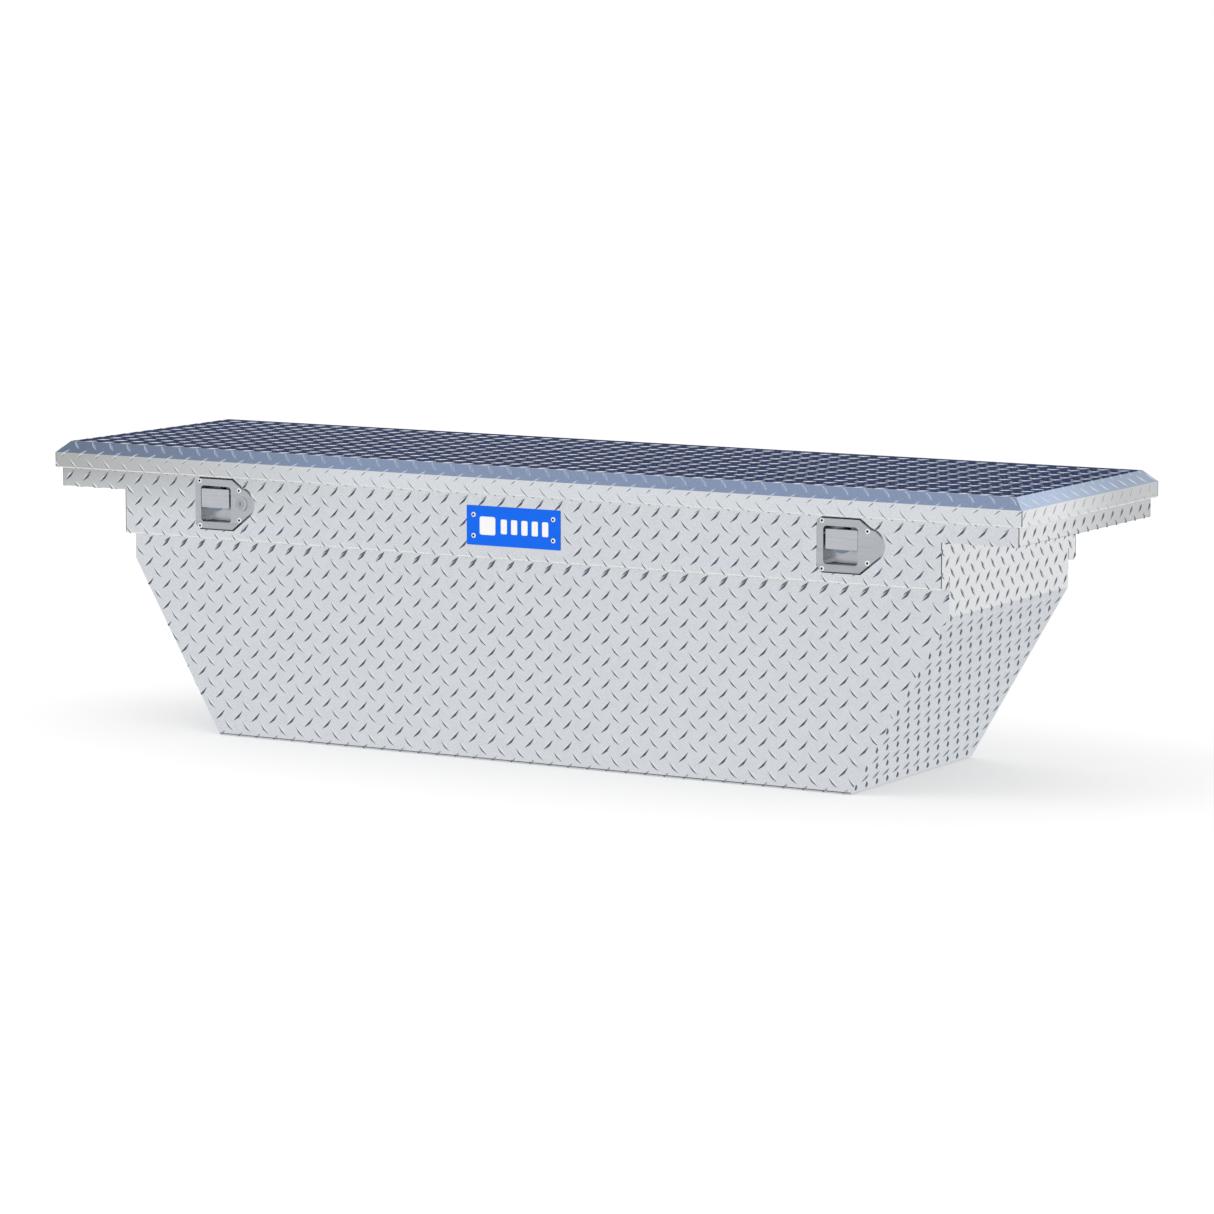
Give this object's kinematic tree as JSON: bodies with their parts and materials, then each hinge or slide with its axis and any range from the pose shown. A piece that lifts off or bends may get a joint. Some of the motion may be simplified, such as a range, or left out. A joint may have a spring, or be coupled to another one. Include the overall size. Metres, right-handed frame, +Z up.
{
  "type": "truck tool box",
  "caption": "Crossover truck tool box in aluminium tread plate: deep tub with sloping ends, hinged low-profile lid on gas struts, paddle latches, wings that rest on the bed rails.",
  "frame": {"origin": "middle of the bounding box's bottom face, which is the underside of the tub", "axes": "+Z up, +X along the length to the right of a person facing the front, -Y is the front with the latches"},
  "size_m": [1.772, 0.496, 0.475],
  "materials": {
    "tread_plate": "bright rolled tread plate with raised lugs",
    "mill_aluminium": "satin mill finish",
    "foam": "closed foam board",
    "rubber": "matt black bulb seal",
    "hinge_steel": "satin stainless",
    "rivet_aluminium": "bright",
    "latch_steel": "satin stainless",
    "zinc_steel": "bright zinc plated",
    "bush_nylon": "natural nylon",
    "lock_chrome": "polished",
    "strut_black": "satin black",
    "strut_rod": "hard chrome",
    "nameplate_blue": "gloss enamel"
  },
  "bodies": {
    "box": {"tub": "tread_plate", "end_panel_left": "tread_plate", "end_panel_right": "tread_plate", "front_rail": "tread_plate", "back_rail": "tread_plate", "rim_seal": "rubber", "hinge_body_leaf": "hinge_steel", "hinge_pin": "hinge_steel", "hinge_rivets": "rivet_aluminium", "latch_rivets_left": "rivet_aluminium", "latch_rivets_right": "rivet_aluminium", "nameplate_rivets": "rivet_aluminium", "lower_bracket_rivets": "rivet_aluminium", "latch_pan_left": "latch_steel", "latch_pan_right": "latch_steel", "paddle_pin_left": "zinc_steel", "paddle_pin_right": "zinc_steel", "paddle_spring_left": "zinc_steel", "paddle_spring_right": "zinc_steel", "lock_nut": "zinc_steel", "shaft_brackets": "zinc_steel", "strut_lower_bracket_left": "zinc_steel", "strut_lower_bracket_right": "zinc_steel", "shaft_bushes": "bush_nylon", "lock_housing": "lock_chrome", "nameplate": "nameplate_blue"},
    "lid": {"lid_skin": "tread_plate", "lid_foam": "foam", "lid_liner": "mill_aluminium", "hinge_lid_leaf": "hinge_steel", "striker_left": "zinc_steel", "striker_right": "zinc_steel", "striker_rivets": "rivet_aluminium", "strut_upper_bracket_left": "zinc_steel", "strut_upper_bracket_right": "zinc_steel", "upper_bracket_rivets": "rivet_aluminium"},
    "left_paddle": {"paddle_left": "latch_steel"},
    "right_paddle": {"paddle_right": "latch_steel"},
    "cross_shaft": {"cross_shaft": "zinc_steel", "crank_left": "zinc_steel", "crank_right": "zinc_steel", "hook_left": "zinc_steel", "hook_right": "zinc_steel"},
    "lock": {"lock_plug": "lock_chrome", "lock_cam": "zinc_steel", "lock_cam_screw": "zinc_steel"},
    "left_strut_tube": {"strut_tube_left": "strut_black"},
    "right_strut_tube": {"strut_tube_right": "strut_black"},
    "left_strut_rod": {"strut_rod_left": "strut_rod"},
    "right_strut_rod": {"strut_rod_right": "strut_rod"}
  },
  "joints": [
    {"name": "lid_hinge", "type": "hinge", "parent": "box", "child": "lid", "pos_m": [0, 0.2425, 0.4342], "axis": [-1, 0, 0], "range_deg": [0, 75], "stiffness_Nm_per_rad": 11.5, "springref_deg": 119.75},
    {"name": "left_paddle_pull", "type": "hinge", "parent": "box", "child": "left_paddle", "pos_m": [-0.5665, -0.234, 0.403], "axis": [-1, 0, 0], "range_deg": [0, 40], "stiffness_Nm_per_rad": 0.6, "springref_deg": -22.92},
    {"name": "right_paddle_pull", "type": "hinge", "parent": "box", "child": "right_paddle", "pos_m": [0.5805, -0.234, 0.403], "axis": [-1, 0, 0], "range_deg": [0, 40]},
    {"name": "cross_shaft_turn", "type": "hinge", "parent": "box", "child": "cross_shaft", "pos_m": [0, -0.188, 0.403], "axis": [1, 0, 0], "range_deg": [0, 40]},
    {"name": "lock_turn", "type": "hinge", "parent": "box", "child": "lock", "pos_m": [-0.518, -0.23, 0.389], "axis": [0, 1, 0], "range_deg": [0, 90]},
    {"name": "left_strut_tube_swing", "type": "hinge", "parent": "box", "child": "left_strut_tube", "pos_m": [-0.733, 0.18674, 0.29495], "axis": [-1, 0, 0], "range_deg": [0, 37.5]},
    {"name": "left_strut_rod_swing", "type": "hinge", "parent": "lid", "child": "left_strut_rod", "pos_m": [-0.733, 0.09283, 0.4442], "axis": [1, 0, 0], "range_deg": [0, 37.5]},
    {"name": "right_strut_tube_swing", "type": "hinge", "parent": "box", "child": "right_strut_tube", "pos_m": [0.733, 0.18674, 0.29495], "axis": [-1, 0, 0], "range_deg": [0, 37.5]},
    {"name": "right_strut_rod_swing", "type": "hinge", "parent": "lid", "child": "right_strut_rod", "pos_m": [0.733, 0.09283, 0.4442], "axis": [1, 0, 0], "range_deg": [0, 37.5]}
  ],
  "couplings": [
    {"joint": "right_paddle_pull", "follows": "left_paddle_pull", "ratio": 1},
    {"joint": "cross_shaft_turn", "follows": "left_paddle_pull", "ratio": 1},
    {"joint": "left_strut_tube_swing", "follows": "lid_hinge", "ratio": 0.5},
    {"joint": "left_strut_rod_swing", "follows": "lid_hinge", "ratio": 0.5},
    {"joint": "right_strut_tube_swing", "follows": "lid_hinge", "ratio": 0.5},
    {"joint": "right_strut_rod_swing", "follows": "lid_hinge", "ratio": 0.5}
  ]
}
